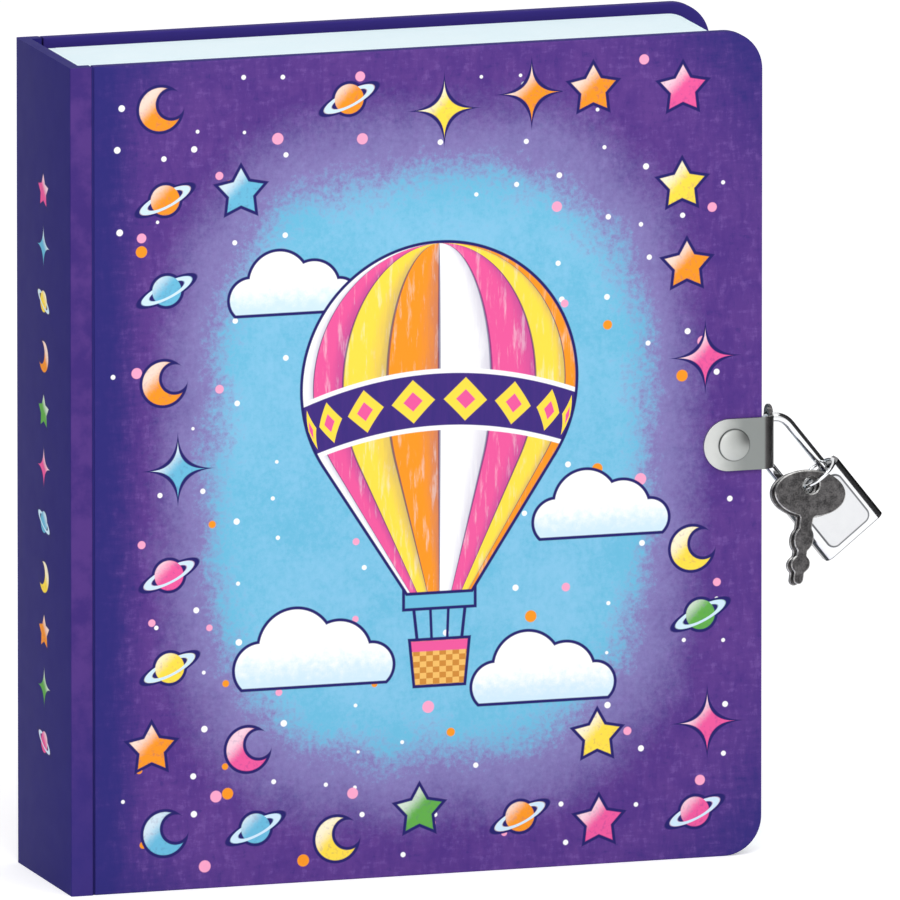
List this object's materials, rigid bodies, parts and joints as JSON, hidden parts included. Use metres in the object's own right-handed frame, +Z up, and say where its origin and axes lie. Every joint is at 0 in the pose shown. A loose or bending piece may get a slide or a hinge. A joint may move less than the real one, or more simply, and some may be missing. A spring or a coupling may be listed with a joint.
{
  "type": "diary with padlock",
  "caption": "Hard-cover diary with hinged covers and turning leaves, held shut at the fore edge by a riveted strap hasp and a small keyed padlock.",
  "frame": {"origin": "foot of the spine, in the middle of its width and of its board's thickness", "axes": "+X from the spine to the fore edge, +Y from the front cover to the back cover, +Z up"},
  "size_m": [0.1619, 0.0382, 0.159],
  "materials": {
    "printed_wrap": "printed paper with a satin film, deep violet",
    "grey_board": "raw grey board",
    "page_paper": "uncoated paper",
    "end_paper": "tinted uncoated paper",
    "mull": "open cotton gauze",
    "plated_steel": "satin nickel plate",
    "bright_chrome": "bright chrome plate",
    "spring_steel": "blue-grey spring",
    "dark_nickel": "dark nickel plate"
  },
  "bodies": {
    "book": {"spine_board": "grey_board", "spine_wrap": "printed_wrap", "spine_lining": "mull", "front_joint_board": "grey_board", "back_joint_board": "grey_board", "page_block": "page_paper", "back_flyleaf": "page_paper"},
    "front_cover": {"front_board": "grey_board", "front_wrap": "printed_wrap", "front_pastedown": "end_paper", "front_strap": "plated_steel", "front_rivet": "plated_steel", "front_rivet_washer": "plated_steel"},
    "back_cover": {"back_board": "grey_board", "back_wrap": "printed_wrap", "back_pastedown": "end_paper", "back_strap": "plated_steel", "back_rivet": "plated_steel", "back_rivet_washer": "plated_steel"},
    "shackle": {"shackle": "bright_chrome"},
    "lock_case": {"case_shell": "bright_chrome", "case_back": "bright_chrome", "latch_spring": "spring_steel"},
    "key_ring": {"key_ring": "bright_chrome"},
    "front_key": {"front_key": "dark_nickel"},
    "rear_key": {"rear_key": "dark_nickel"},
    "front_flyleaf": {"front_flyleaf": "page_paper"},
    "first_leaf": {"first_leaf": "page_paper"},
    "second_leaf": {"second_leaf": "page_paper"},
    "third_leaf": {"third_leaf": "page_paper"}
  },
  "joints": [
    {"name": "front_cover_open", "type": "hinge", "parent": "book", "child": "front_cover", "pos_m": [0.00325, -0.0175, 0], "axis": [0, 0, -1], "range_deg": [0, 170]},
    {"name": "back_cover_open", "type": "hinge", "parent": "book", "child": "back_cover", "pos_m": [0.00325, 0.0175, 0], "axis": [0, 0, 1], "range_deg": [0, 170]},
    {"name": "front_flyleaf_turn", "type": "hinge", "parent": "book", "child": "front_flyleaf", "pos_m": [0.0053, -0.0133, 0], "axis": [0, 0, -1], "range_deg": [0, 94]},
    {"name": "first_leaf_turn", "type": "hinge", "parent": "book", "child": "first_leaf", "pos_m": [0.0053, -0.0128, 0], "axis": [0, 0, -1], "range_deg": [0, 71.9]},
    {"name": "second_leaf_turn", "type": "hinge", "parent": "book", "child": "second_leaf", "pos_m": [0.0053, -0.0123, 0], "axis": [0, 0, -1], "range_deg": [0, 49.8]},
    {"name": "third_leaf_turn", "type": "hinge", "parent": "book", "child": "third_leaf", "pos_m": [0.0053, -0.0118, 0], "axis": [0, 0, -1], "range_deg": [0, 27.7]},
    {"name": "lock_swing", "type": "hinge", "parent": "front_cover", "child": "shackle", "pos_m": [0.13935, -0.0135, 0.0795], "axis": [0, -1, 0], "range_deg": [-6, 35]},
    {"name": "shackle_release", "type": "slide", "parent": "shackle", "child": "lock_case", "axis": [0.6225, 0, -0.7826], "range_m": [0, 0.005]},
    {"name": "ring_swing", "type": "hinge", "parent": "shackle", "child": "key_ring", "pos_m": [0.14911, -0.0135, 0.07366], "axis": [-0.6225, 0, 0.7826], "range_deg": [0, 28]},
    {"name": "front_key_swing", "type": "hinge", "parent": "key_ring", "child": "front_key", "pos_m": [0.14549, -0.01745, 0.07078], "axis": [0, -1, 0], "range_deg": [-8, 12]},
    {"name": "rear_key_swing", "type": "hinge", "parent": "key_ring", "child": "rear_key", "pos_m": [0.14495, -0.01645, 0.07034], "axis": [0, -1, 0], "range_deg": [-8, 12]}
  ],
  "couplings": [
    {"joint": "front_flyleaf_turn", "follows": "front_cover_open", "ratio": 0.55},
    {"joint": "first_leaf_turn", "follows": "front_cover_open", "ratio": 0.42},
    {"joint": "second_leaf_turn", "follows": "front_cover_open", "ratio": 0.29},
    {"joint": "third_leaf_turn", "follows": "front_cover_open", "ratio": 0.16}
  ]
}
